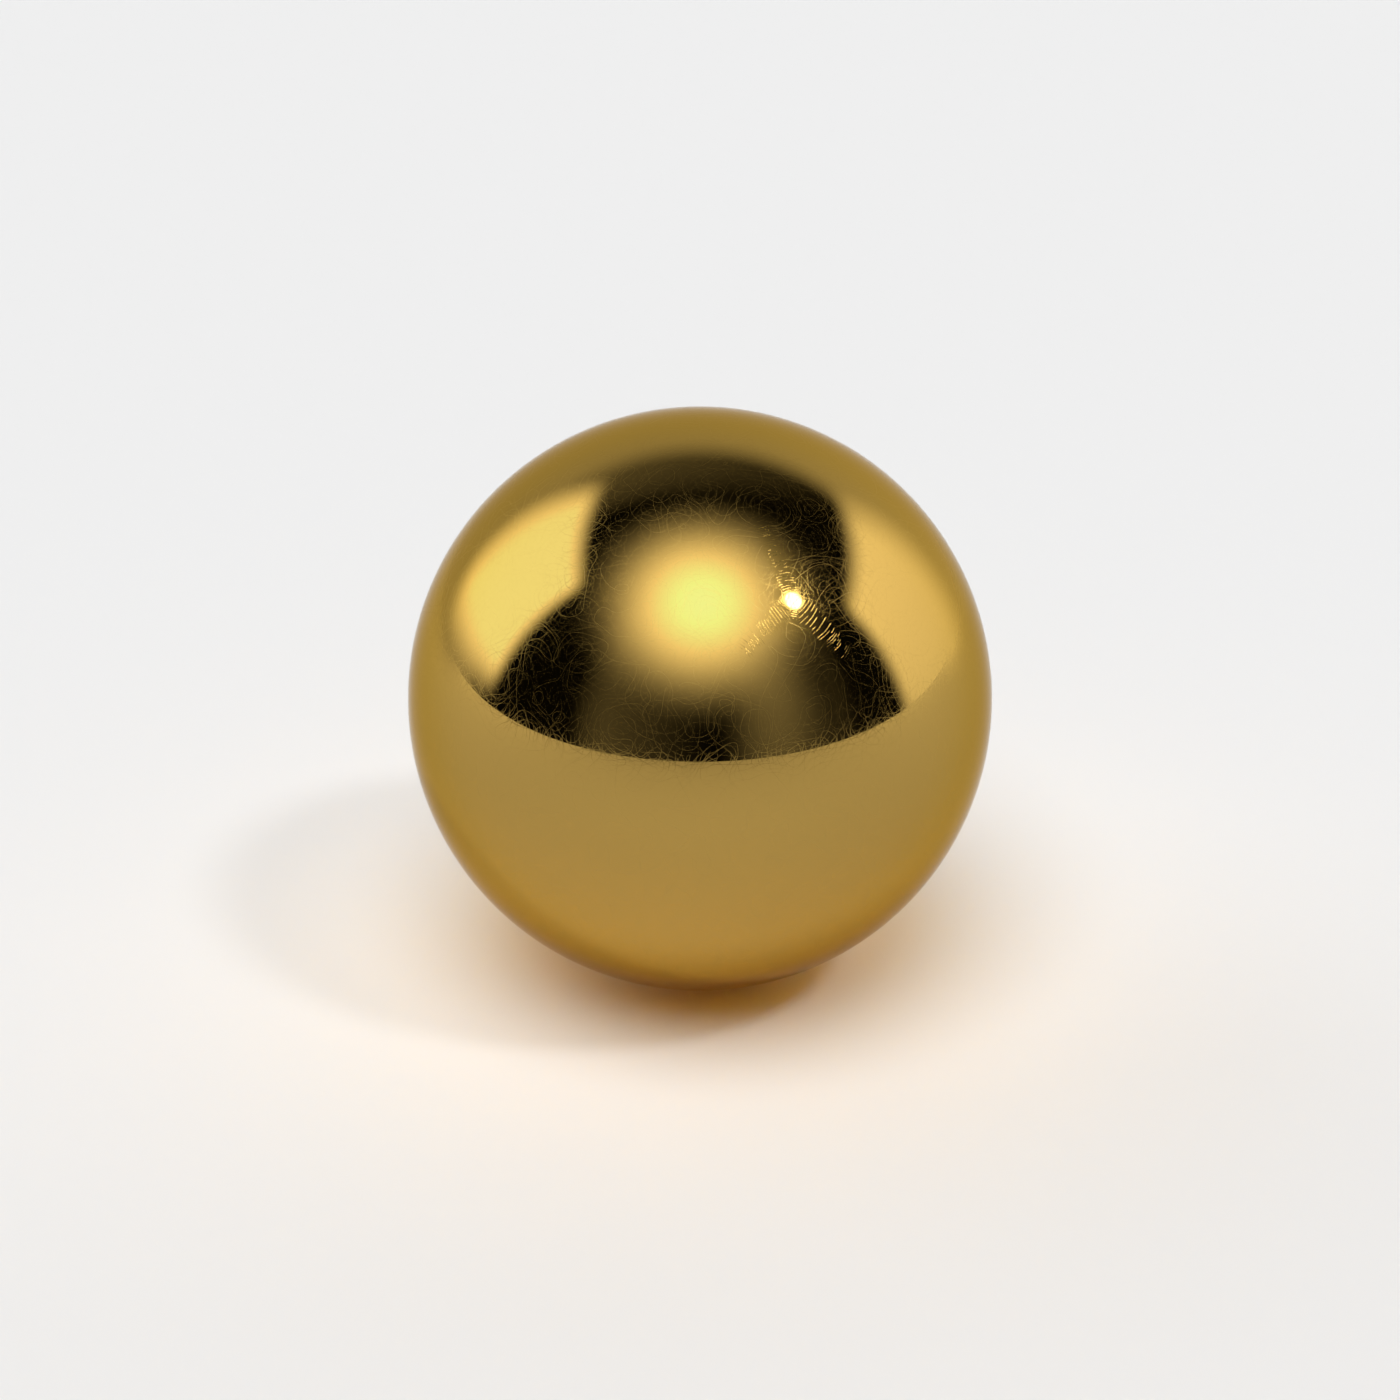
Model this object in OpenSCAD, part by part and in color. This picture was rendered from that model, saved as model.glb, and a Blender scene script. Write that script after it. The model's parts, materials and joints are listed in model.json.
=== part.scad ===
// A solid brass ball, turned and polished in one piece: no bore, seam, flat or insert.
// The origin is the ball's centre, with +Z up.

/* [Ball] */
// Diameter of the ball
ball_d = 50; // [3:1:100]

/* [Hidden] */
// Facets round the ball in a preview
preview_facets = 120;

module ball() {
    color("#b08c44")
        sphere(d = ball_d, $fn = preview_facets);
}

ball();
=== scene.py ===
"""A polished brass ball on a pale floor, under the soft panels of a dark studio.

The ball is a true sphere in one piece. Its finish is mirror polish with fine hairline scratches.
Directions in the studio are given from the ball's centre: azimuth 0 is towards the camera and
turns positive to the picture's right, and elevation is above the horizon, both in degrees.
"""

import json
import math

import bmesh
import bpy
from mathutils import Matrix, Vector


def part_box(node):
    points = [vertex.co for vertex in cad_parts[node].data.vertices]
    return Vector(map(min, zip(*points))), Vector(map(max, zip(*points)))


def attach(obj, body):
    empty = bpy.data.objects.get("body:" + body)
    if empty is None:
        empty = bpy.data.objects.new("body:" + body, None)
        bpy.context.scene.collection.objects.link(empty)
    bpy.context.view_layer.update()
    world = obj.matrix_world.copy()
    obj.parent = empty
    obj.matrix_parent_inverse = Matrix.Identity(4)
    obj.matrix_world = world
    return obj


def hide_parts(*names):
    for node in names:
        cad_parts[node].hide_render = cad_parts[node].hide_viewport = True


# The floor and the background: this level of white, all over the picture.
PALE = 0.88

# Polished brass as seen square on, its tint near the outline over plain Schlick gloss, and how
# rough it is between the hairlines.
BRASS = (0.445, 0.284, 0.070)
BRASS_EDGE_TINT = (0.74, 0.62, 0.43)
POLISH = 0.02

# The camera's lens, and its place and aim, in ball radii and degrees.
LENS_MM = 50.0
CAMERA_DISTANCE = 6.73
CAMERA_ELEVATION = 23.3
AIM_BELOW_CENTRE = 0.006


# ------------------------------------------------------------------ small helpers


def direction(azimuth, elevation):
    """The unit vector towards a place in the studio."""
    a, e = math.radians(azimuth), math.radians(elevation)
    return Vector((math.sin(a) * math.cos(e), -math.cos(a) * math.cos(e), math.sin(e)))


def feed(tree, socket, value):
    """Links a socket to another one, or sets its plain value."""
    if isinstance(value, bpy.types.NodeSocket):
        tree.links.new(value, socket)
    else:
        socket.default_value = value


def node(tree, kind, inputs=(), **settings):
    """Adds a node, with its settings and then its inputs, by name or place."""
    made = tree.nodes.new(kind)
    for name, value in settings.items():
        setattr(made, name, value)
    for key, value in dict(inputs).items():
        feed(tree, made.inputs[key], value)
    return made


def maths(tree, operation, *values, clamp=False):
    made = node(tree, "ShaderNodeMath", operation=operation, use_clamp=clamp)
    for socket, value in zip(made.inputs, values):
        feed(tree, socket, value)
    return made.outputs[0]


def vectors(tree, operation, *values):
    made = node(tree, "ShaderNodeVectorMath", operation=operation)
    for socket, value in zip(made.inputs, values):
        feed(tree, socket, value)
    single = operation in ("DOT_PRODUCT", "LENGTH", "DISTANCE")
    return made.outputs["Value" if single else "Vector"]


def scaled(tree, vector, factor):
    made = node(tree, "ShaderNodeVectorMath", {0: vector, "Scale": factor}, operation="SCALE")
    return made.outputs["Vector"]


def ramp(tree, value, start, end, low=0.0, high=1.0):
    """A smooth step from low at start to high at end, flat outside them."""
    inputs = {"Value": value, "From Min": start, "From Max": end, "To Min": low, "To Max": high}
    made = node(tree, "ShaderNodeMapRange", inputs, interpolation_type="SMOOTHSTEP")
    return made.outputs["Result"]


# The places of the Mix node's colour sockets, as its sockets for other data have the same names.
MIX_A, MIX_B, MIX_RESULT = 6, 7, 2


def mixed(tree, factor, a, b):
    """Colour a where factor is 0, b where it is 1."""
    made = node(tree, "ShaderNodeMix", data_type="RGBA")
    feed(tree, made.inputs["Factor"], factor)
    feed(tree, made.inputs[MIX_A], a)
    feed(tree, made.inputs[MIX_B], b)
    return made.outputs[MIX_RESULT]


def grey(level):
    return (level, level, level, 1.0)


# ------------------------------------------------------------------ the studio

# Each panel is a soft-edged rectangle square to the line from the ball. Its sides are given from
# its centre, over its distance, as (left, right, bottom, top) for someone who looks from it to the
# ball, and so are its edges' soft widths. A side that is None has no edge.
# Its level is how bright the studio is there, rise how much brighter it grows upwards, and lean how
# much brighter to the right. on_floor is how bright it is as a lamp for the floor.
PANELS = {
    "haze over the back wall": dict(
        azimuth=180, elevation=0, sides=(-0.27, None, None, 1.48),
        soft=(2.5, 0, 0, 5.2), level=0.30),
    "back wall": dict(
        azimuth=180, elevation=0, sides=(None, 6, None, 1.10),
        soft=(0, 8, 0, 0.70), level=0.82, rise=-0.24, lean=-0.15, on_floor=0.92),
    "shelf at the front right": dict(
        azimuth=48, elevation=0, sides=(-0.62, 0.19, None, 1.20),
        soft=(0.13, 0.20, 0, 0.30), level=0.039),
    "front left": dict(
        azimuth=-33, elevation=0, sides=(-0.17, -0.13, None, 1.28),
        soft=(0.33, 1.80, 0, 0.77), level=0.30, rise=-0.09),
    "front right": dict(
        azimuth=30, elevation=0, sides=(-0.155, 0.14, None, 0.55),
        soft=(0.59, 0.56, 0, 0.49), level=0.26, rise=0.35),
    "left softbox": dict(
        azimuth=-110, elevation=26.7, sides=(-0.367, 0.448, -0.366, 0.482),
        soft=(0.38, 0.185, 0.30, 0.205), level=2.38, rise=-0.07, on_floor=0.80),
    "right softbox": dict(
        azimuth=110.9, elevation=14.5, sides=(-0.525, 0.339, -0.458, 0.491),
        soft=(0.20, 0.454, 0.68, 0.213), level=1.66, rise=0.56),
}
# The round panel overhead fades outwards from its middle, to nothing at its rim, in degrees. The
# higher its fading, the sooner it does so.
OVERHEAD = dict(azimuth=1.6, elevation=59, rim=53.4, fading=4.2, level=3.44)
# The round lights fade out from their inner to their outer angle. They are the small lamp that the
# ball mirrors, and what lights the floor instead of that lamp and of the panel overhead.
LAMP = dict(azimuth=57.5, elevation=50, outer=3.6, inner=2.5, level=18)
LAMP_ON_FLOOR = dict(azimuth=58.5, elevation=51, outer=4.6, inner=3.4, level=36.5)
OVERHEAD_ON_FLOOR = dict(azimuth=-11, elevation=65, outer=26, inner=20, level=4.5)
# How bright the studio is between its panels.
STUDIO_GLOOM = 0.004
# A panel only shows where the cosine of the angle between it and the view is above this.
AHEAD = 0.02
# The brass throws its reflections of the studio, and of the floor itself, on to the floor this
# much stronger than it shows them, in a deeper gold.
STUDIO_GLOW = (5.9, 5.2, 1.1)
# FLOOR_GLOW is a painted glow: it raises the floor's own colour where the brass mirrors it back on to
# the floor.
FLOOR_GLOW = (2.35, 2.02, 0.38)


def angle_between(tree, look, towards):
    """The angle between two unit vectors, in degrees."""
    cosine = vectors(tree, "DOT_PRODUCT", look, towards)
    return maths(tree, "DEGREES", maths(tree, "ARCCOSINE", cosine))


def panel_cover(tree, look, panel):
    """How much of the view in direction look the panel covers, and where that view lies.

    Where it lies is given as the sine of its angle to the right of the panel's middle, and as its
    height above that middle over the panel's distance.
    """
    towards = direction(panel["azimuth"], panel["elevation"])
    across = direction(panel["azimuth"] + 90, 0)
    upward = direction(panel["azimuth"], panel["elevation"] + 90)
    depth = vectors(tree, "DOT_PRODUCT", look, towards)
    ahead = maths(tree, "GREATER_THAN", depth, AHEAD)
    sideways = vectors(tree, "DOT_PRODUCT", look, across)
    x = maths(tree, "DIVIDE", sideways, depth)
    y = maths(tree, "DIVIDE", vectors(tree, "DOT_PRODUCT", look, upward), depth)
    cover = ahead
    inwards = (1, -1, 1, -1)
    for place, side, soft, sign in zip((x, x, y, y), panel["sides"], panel["soft"], inwards):
        if side is not None:
            edge = ramp(tree, place, side - sign * soft / 2, side + sign * soft / 2)
            cover = maths(tree, "MULTIPLY", cover, edge)
    return cover, sideways, y


def overhead_light(tree, look):
    """The level of the round panel overhead in direction look."""
    towards = direction(OVERHEAD["azimuth"], OVERHEAD["elevation"])
    away = angle_between(tree, look, towards)
    share = maths(tree, "DIVIDE", away, OVERHEAD["rim"])
    inside = maths(tree, "SUBTRACT", 1.0, maths(tree, "MULTIPLY", share, share), clamp=True)
    faded = maths(tree, "POWER", inside, OVERHEAD["fading"])
    return maths(tree, "MULTIPLY", faded, OVERHEAD["level"])


def round_light(tree, look, light):
    """The level of a round light in direction look, fading from its inner to its outer angle."""
    towards = direction(light["azimuth"], light["elevation"])
    away = angle_between(tree, look, towards)
    return ramp(tree, away, light["outer"], light["inner"], 0.0, light["level"])


def light_for_brass(tree, look, path):
    """What the ball reflects, to the eye and to the floor.

    Seen square on, nothing but the lamp shows brighter in the ball than PALE.
    """
    light = grey(STUDIO_GLOOM)
    for panel in PANELS.values():
        cover, sideways, y = panel_cover(tree, look, panel)
        level = maths(tree, "MULTIPLY_ADD", y, panel.get("rise", 0.0), panel["level"])
        level = maths(tree, "MULTIPLY_ADD", sideways, panel.get("lean", 0.0), level)
        light = mixed(tree, cover, light, level)
    light = vectors(tree, "ADD", light, overhead_light(tree, look))
    for_floor = vectors(tree, "MULTIPLY", light, STUDIO_GLOW)
    capped = vectors(tree, "MINIMUM", light, [PALE / share for share in BRASS])
    for_eye = vectors(tree, "ADD", capped, round_light(tree, look, LAMP))
    return mixed(tree, ray_from_floor(tree, path), for_eye, for_floor)


def light_for_floor(tree, look):
    """What lights the floor. An open spot gets about as much of it as from a white sky."""
    light = 0.0
    for panel in PANELS.values():
        if "on_floor" in panel:
            cover, _, _ = panel_cover(tree, look, panel)
            light = maths(tree, "MULTIPLY_ADD", cover, panel["on_floor"], light)
    light = maths(tree, "ADD", light, round_light(tree, look, OVERHEAD_ON_FLOOR))
    return maths(tree, "ADD", light, round_light(tree, look, LAMP_ON_FLOOR))


def ray_from_floor(tree, path):
    """1 for rays that left the floor before they came by the brass, 0 for those from the eye."""
    return maths(tree, "GREATER_THAN", path.outputs["Diffuse Depth"], 0.5)


def make_world():
    """The surroundings: plain pale to the eye, a studio to the brass, and lamps to the floor."""
    world = bpy.data.worlds.new("studio")
    world.use_nodes = True
    tree = world.node_tree
    tree.nodes.clear()
    look = node(tree, "ShaderNodeTexCoord").outputs["Generated"]
    path = node(tree, "ShaderNodeLightPath")

    def background(colour):
        made = node(tree, "ShaderNodeBackground", {"Color": colour, "Strength": 1.0})
        return made.outputs["Background"]

    def choose(flag, if_not, if_so):
        inputs = {0: path.outputs[flag], 1: if_not, 2: if_so}
        return node(tree, "ShaderNodeMixShader", inputs).outputs["Shader"]

    lit = choose("Is Glossy Ray", background(light_for_floor(tree, look)),
                 background(light_for_brass(tree, look, path)))
    seen = choose("Is Camera Ray", lit, background(grey(PALE)))
    node(tree, "ShaderNodeOutputWorld", {"Surface": seen})
    bpy.context.scene.world = world


# ------------------------------------------------------------------ the floor

# How the floor looks in the brass, with painted shade and painted light in its colour: this much
# dimmer at the sides near the ball, and between these distances, in ball radii, it turns this much
# brighter at the sides and dimmer in front.
FLOOR_SIDES_PAINTED_SHADE = 0.06
FLOOR_NEAR, FLOOR_FAR = 3.0, 60.0
FLOOR_SIDES_PAINTED_LIGHT, FLOOR_FRONT_PAINTED_SHADE = 0.26, 0.23
# Behind the ball the floor fades into the back wall from here to FLOOR_FAR, as if it rose there.
# Behind is where the cosine of the direction from the camera's side falls between these two.
FLOOR_FADES = 11.0
BEHIND_STARTS, BEHIND_FULLY = -0.2, -0.5
# The floor itself ends this far out, in ball radii, at a rim of this many sides.
FLOOR_REACH, FLOOR_SEGMENTS = 400, 64


def floor_in_brass(tree, radius):
    """The floor's level in the ball's reflection, with painted shade and painted light by where it
    is, and how far it fades there.
    """
    place = node(tree, "ShaderNodeTexCoord").outputs["Object"]
    distance = vectors(tree, "LENGTH", place)

    def outwards(start):
        """From 0 at start to 1 at FLOOR_FAR, in even steps of the distance's logarithm."""
        share = maths(tree, "DIVIDE", distance, start * radius)
        return maths(tree, "LOGARITHM", share, FLOOR_FAR / start, clamp=True)

    front = maths(tree, "DIVIDE", vectors(tree, "DOT_PRODUCT", place, (0, -1, 0)), distance)
    sideways = maths(tree, "SUBTRACT", 1.0, maths(tree, "MULTIPLY", front, front))
    # Painted shade at the sides near the ball, then painted light at the sides and painted shade in
    # front further out.
    near = maths(tree, "MULTIPLY_ADD", sideways, -FLOOR_SIDES_PAINTED_SHADE, PALE)
    loss = maths(tree, "MULTIPLY", maths(tree, "MAXIMUM", front, 0.0), -FLOOR_FRONT_PAINTED_SHADE)
    change = maths(tree, "MULTIPLY_ADD", sideways, FLOOR_SIDES_PAINTED_LIGHT, loss)
    level = maths(tree, "MULTIPLY_ADD", change, outwards(FLOOR_NEAR), near)
    behind = ramp(tree, front, BEHIND_STARTS, BEHIND_FULLY)
    faded = maths(tree, "MULTIPLY", outwards(FLOOR_FADES), behind)
    return level, faded


def make_floor(centre, radius):
    """A pale round floor out to the horizon, which the ball touches at one point."""
    mesh = bpy.data.meshes.new("floor")
    shape = bmesh.new()
    reach = FLOOR_REACH * radius
    bmesh.ops.create_circle(shape, cap_ends=True, segments=FLOOR_SEGMENTS, radius=reach)
    shape.to_mesh(mesh)
    shape.free()
    floor = bpy.data.objects.new("floor", mesh)
    floor.location = centre - Vector((0, 0, radius))
    bpy.context.scene.collection.objects.link(floor)
    material = bpy.data.materials.new("pale_floor")
    material.use_nodes = True
    tree = material.node_tree
    tree.nodes.clear()
    path = node(tree, "ShaderNodeLightPath")
    # Painted light: for rays that left the floor and came back by the brass, the floor's colour is
    # raised by FLOOR_GLOW, a painted gold glow.
    glow = mixed(tree, ray_from_floor(tree, path), grey(1.0), (*FLOOR_GLOW, 1.0))
    level, faded = floor_in_brass(tree, radius)
    reflected = scaled(tree, glow, level)
    plain = node(tree, "ShaderNodeBsdfDiffuse", {"Color": grey(PALE)}).outputs["BSDF"]
    solid = node(tree, "ShaderNodeBsdfDiffuse", {"Color": reflected}).outputs["BSDF"]
    clear = node(tree, "ShaderNodeBsdfTransparent").outputs["BSDF"]
    mirrored = node(tree, "ShaderNodeMixShader", {0: faded, 1: solid, 2: clear}).outputs["Shader"]
    inputs = {0: path.outputs["Is Glossy Ray"], 1: plain, 2: mirrored}
    either = node(tree, "ShaderNodeMixShader", inputs).outputs["Shader"]
    node(tree, "ShaderNodeOutputMaterial", {"Surface": either})
    mesh.materials.append(material)


def make_camera(centre, radius):
    """A camera in front of the ball, which looks down on it."""
    data = bpy.data.cameras.new("camera")
    data.lens = LENS_MM
    data.clip_start = 0.01
    data.clip_end = 1000.0
    camera = bpy.data.objects.new("camera", data)
    bpy.context.scene.collection.objects.link(camera)
    camera.location = centre + direction(0, CAMERA_ELEVATION) * CAMERA_DISTANCE * radius
    aim = centre - Vector((0, 0, AIM_BELOW_CENTRE * radius))
    camera.rotation_euler = (aim - camera.location).to_track_quat("-Z", "Y").to_euler()
    bpy.context.scene.camera = camera


# ------------------------------------------------------------------ the hairlines

# Families of hairlines: the scale of the swirls they follow, how far apart they run and how long
# they stay in sight, in ball radii, and how much of them shows, from none at 0 to most at 1.
# The faint ones lie all over the ball, and only dull its polish, up to this roughness.
FAINT_SWIRLS = [0.07, 0.09, 0.12, 0.15, 0.19, 0.24, 0.30]
FAINT_SPACINGS = [0.013, 0.014, 0.015, 0.017, 0.018, 0.020, 0.022]
FAINT_HAIRLINES = [
    dict(seed=seed, swirl=swirl, apart=apart, share=0.85, length=0.17)
    for seed, (swirl, apart) in enumerate(zip(FAINT_SWIRLS, FAINT_SPACINGS), start=1)
]
FAINT_HALF_WIDTH = 0.0013
FAINT_ROUGHNESS = 0.31
# The deep ones are grooves with sides up to this steep, and narrower at the bottom the higher their
# sharpness. They catch glints of the lamp.
DEEP_HAIRLINES = dict(seed=8, swirl=0.14, apart=0.024, share=0.62, length=0.03)
DEEP_HALF_WIDTH = 0.0012
DEEP_SLOPE = 0.46
DEEP_SHARPNESS = 2.0
# They lie only in scuffs: bands that run straight out from the lamp's reflection to these places.
# A band begins at this share of its way, and reaches this far to each side, in ball radii.
SCUFFS = [
    dict(azimuth=18.5, elevation=55, start=0.18, reach=0.036),
    dict(azimuth=9.8, elevation=31.8, start=0.25, reach=0.046),
    dict(azimuth=29.4, elevation=29.1, start=0.25, reach=0.050),
]
# The share of its reach within which a scuff has its full strength, how hard it turns hairlines
# square to its way, and how much of the faint ones' roughness it wears away.
SCUFF_CORE = 0.2
SCUFF_PULL = 2.0
SCUFF_WEAR = 0.7
# The noise field that hairlines follow: how many lanes wide a swirl is when they are as far apart
# as the swirl, the step its slope is measured over, and how far each seed moves it on.
FIELD_LANES = 1.3
FIELD_STEP = 0.02
SEED_MOVES = Vector((7.3, 3.1, 5.7))
# A second noise, moved on this far from lane to lane, hides parts of the hairlines: all below the
# first of these values, and none above the second. A family's share lowers both, by up to the third.
LANE_MOVES = 3.7
SIGHT_STARTS, SIGHT_FULLY, SIGHT_LOWERS = 0.72, 0.80, 0.5
# Each lane has a depth by chance: from this share of the deepest, by its number, which starts this
# much further on from seed to seed.
SHALLOWEST = 0.4
SEED_LANES = 100.0
# Rounds of closing in on the place of the lamp's reflection.
SPOT_ROUNDS = 8


def lamp_on_ball():
    """Where on the ball the camera sees the lamp: there the ball faces halfway between them."""
    to_camera = direction(0, CAMERA_ELEVATION)
    spot = to_camera
    for _ in range(SPOT_ROUNDS):
        sight = (to_camera * CAMERA_DISTANCE - spot).normalized()
        spot = (sight + direction(LAMP["azimuth"], LAMP["elevation"])).normalized()
    return spot


def scuffs(tree, outward):
    """The slope that scuffs add to the hairlines' field, and how strong they are, from 0 to 1."""
    pull, cover = (0.0, 0.0, 0.0), 0.0
    lamp_spot = lamp_on_ball()
    from_lamp = vectors(tree, "SUBTRACT", outward, lamp_spot)
    for scuff in SCUFFS:
        band = direction(scuff["azimuth"], scuff["elevation"]) - lamp_spot
        # The nearest place on the band's middle line, as a share of its way.
        along = maths(tree, "DIVIDE", vectors(tree, "DOT_PRODUCT", from_lamp, band), band.dot(band))
        along = maths(tree, "MINIMUM", maths(tree, "MAXIMUM", along, scuff["start"]), 1.0)
        away = vectors(tree, "DISTANCE", from_lamp, scaled(tree, band, along))
        inside = ramp(tree, away, scuff["reach"], scuff["reach"] * SCUFF_CORE)
        there = maths(tree, "GREATER_THAN", inside, 0.0)
        pull = vectors(tree, "MULTIPLY_ADD", there, band.normalized() * SCUFF_PULL, pull)
        cover = maths(tree, "MAXIMUM", cover, inside)
    return pull, cover


def hairlines(tree, outward, seed, swirl, apart, share, length, pull=None):
    """The distance to the nearest hairline of a family, in ball radii, and its depth, up to 1.

    Hairlines follow the contours of a smooth noise field, one to each lane between two contours.
    A spot's distance from its lane's middle is the difference in lanes over the field's slope
    along the surface, so that all have the same width. A pull is a slope added to the field.
    """
    spot = vectors(tree, "ADD", scaled(tree, outward, 1 / swirl), seed * SEED_MOVES)

    def field(offset):
        moved = vectors(tree, "ADD", spot, offset)
        noise = node(tree, "ShaderNodeTexNoise", {"Vector": moved, "Scale": 1.0, "Detail": 0.0})
        if pull is None:
            return noise.outputs["Fac"]
        return maths(tree, "ADD", noise.outputs["Fac"], vectors(tree, "DOT_PRODUCT", moved, pull))

    here = field((0, 0, 0))
    slopes = node(tree, "ShaderNodeCombineXYZ")
    for axis in range(3):
        offset = Vector((0, 0, 0))
        offset[axis] = FIELD_STEP
        feed(tree, slopes.inputs[axis], maths(tree, "SUBTRACT", field(offset), here))
    along = vectors(tree, "CROSS_PRODUCT", slopes.outputs[0], outward)
    lanes = FIELD_LANES * swirl / apart
    steepness = maths(tree, "MULTIPLY", vectors(tree, "LENGTH", along), lanes / (FIELD_STEP * swirl))

    lane = maths(tree, "MULTIPLY", here, lanes)
    index = maths(tree, "FLOOR", lane)
    off_middle = maths(tree, "ABSOLUTE", maths(tree, "SUBTRACT", maths(tree, "FRACT", lane), 0.5))
    # Where the field is nearly flat, a lane counts as one ball radius wide.
    distance = maths(tree, "DIVIDE", off_middle, maths(tree, "MAXIMUM", steepness, 1.0))

    moves = node(tree, "ShaderNodeCombineXYZ", {"Z": maths(tree, "MULTIPLY", index, LANE_MOVES)})
    stretch = vectors(tree, "ADD", scaled(tree, spot, swirl / length), moves.outputs[0])
    sight = node(tree, "ShaderNodeTexNoise", {"Vector": stretch, "Scale": 1.0, "Detail": 0.0})
    less = SIGHT_LOWERS * share
    shown = ramp(tree, sight.outputs["Fac"], SIGHT_STARTS - less, SIGHT_FULLY - less)
    number = maths(tree, "ADD", index, SEED_LANES * seed)
    luck = node(tree, "ShaderNodeTexWhiteNoise", {"W": number}, noise_dimensions="1D")
    depth = maths(tree, "MULTIPLY_ADD", luck.outputs["Value"], 1 - SHALLOWEST, SHALLOWEST)
    return distance, maths(tree, "MULTIPLY", depth, shown)


# ------------------------------------------------------------------ the ball

# How many squares each side of the cube is divided into, and how near each other, in ball radii,
# the corners lie that adjoining sides share.
SQUARES = 128
SAME_CORNER = 1e-5


def brass_material(centre, radius):
    """Polished brass. Faint hairlines only roughen it, and deep ones are a bump."""
    material = bpy.data.materials.new("polished_brass")
    material.use_nodes = True
    tree = material.node_tree
    tree.nodes.clear()
    place = node(tree, "ShaderNodeTexCoord").outputs["Object"]
    outward = scaled(tree, vectors(tree, "SUBTRACT", place, centre), 1 / radius)
    pull, cover = scuffs(tree, outward)

    def bed(distance, half_width):
        """From 0 beside a hairline to 1 in its middle."""
        return maths(tree, "SUBTRACT", 1.0, maths(tree, "DIVIDE", distance, half_width), clamp=True)

    dull = 0.0
    for family in FAINT_HAIRLINES:
        distance, depth = hairlines(tree, outward, **family)
        line = maths(tree, "MULTIPLY", bed(distance, FAINT_HALF_WIDTH), depth)
        dull = maths(tree, "MAXIMUM", dull, line)
    left = maths(tree, "MULTIPLY_ADD", cover, -SCUFF_WEAR, 1.0)
    added = maths(tree, "MULTIPLY", left, FAINT_ROUGHNESS - POLISH)
    roughness = maths(tree, "MULTIPLY_ADD", dull, added, POLISH)

    distance, depth = hairlines(tree, outward, **DEEP_HAIRLINES, pull=pull)
    groove = maths(tree, "POWER", bed(distance, DEEP_HALF_WIDTH), DEEP_SHARPNESS)
    height = maths(tree, "MULTIPLY", groove, maths(tree, "MULTIPLY", depth, cover))
    deepest = DEEP_SLOPE * DEEP_HALF_WIDTH * radius / DEEP_SHARPNESS
    bump = node(tree, "ShaderNodeBump",
                {"Strength": 1.0, "Distance": deepest, "Height": height}, invert=True)

    shader = node(tree, "ShaderNodeBsdfPrincipled", {
        "Base Color": (*BRASS, 1.0),
        "Metallic": 1.0,
        "Specular Tint": (*BRASS_EDGE_TINT, 1.0),
        "Roughness": roughness,
        "Normal": bump.outputs["Normal"],
    })
    node(tree, "ShaderNodeOutputMaterial", {"Surface": shader.outputs["BSDF"]})
    return material


def make_ball(centre, radius):
    """A sphere of even squares: a cube's faces, divided at equal angles and blown up round."""
    mesh = bpy.data.meshes.new("brass_ball")
    shape = bmesh.new()
    steps = [math.tan(math.radians(90 * i / SQUARES - 45)) for i in range(SQUARES + 1)]
    sides = [
        (Vector((1, 0, 0)), Vector((0, 1, 0))), (Vector((0, 1, 0)), Vector((1, 0, 0))),
        (Vector((0, 1, 0)), Vector((0, 0, 1))), (Vector((0, 0, 1)), Vector((0, 1, 0))),
        (Vector((0, 0, 1)), Vector((1, 0, 0))), (Vector((1, 0, 0)), Vector((0, 0, 1))),
    ]
    for u, v in sides:
        w = u.cross(v)
        grid = [[shape.verts.new(centre + radius * (u * a + v * b + w).normalized()) for b in steps]
                for a in steps]
        for i in range(SQUARES):
            for j in range(SQUARES):
                corners = (grid[i][j], grid[i + 1][j], grid[i + 1][j + 1], grid[i][j + 1])
                shape.faces.new(corners).smooth = True
    bmesh.ops.remove_doubles(shape, verts=shape.verts, dist=radius * SAME_CORNER)
    shape.to_mesh(mesh)
    shape.free()
    mesh.normals_split_custom_set_from_vertices([(p.co - centre).normalized() for p in mesh.vertices])
    ball = bpy.data.objects.new("brass_ball", mesh)
    bpy.context.scene.collection.objects.link(ball)
    mesh.materials.append(brass_material(centre, radius))
    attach(ball, "root")
    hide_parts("ball")


# ------------------------------------------------------------------ the scene

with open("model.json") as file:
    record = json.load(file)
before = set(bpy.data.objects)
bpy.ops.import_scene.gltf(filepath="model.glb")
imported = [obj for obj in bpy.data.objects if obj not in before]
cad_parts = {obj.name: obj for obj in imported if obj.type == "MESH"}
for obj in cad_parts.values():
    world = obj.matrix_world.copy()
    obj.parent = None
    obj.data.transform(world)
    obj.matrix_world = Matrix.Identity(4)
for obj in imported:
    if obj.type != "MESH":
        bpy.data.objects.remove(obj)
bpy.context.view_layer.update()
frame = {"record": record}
bottom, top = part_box("ball")
ball_radius = (top.z - bottom.z) / 2
rest_point = Vector(frame["record"]["mounts"][0]["pos_m"])
ball_centre = rest_point + Vector((0, 0, ball_radius))

make_camera(ball_centre, ball_radius)
make_world()
make_floor(ball_centre, ball_radius)
make_ball(ball_centre, ball_radius)
bpy.context.scene.view_settings.view_transform = "Standard"
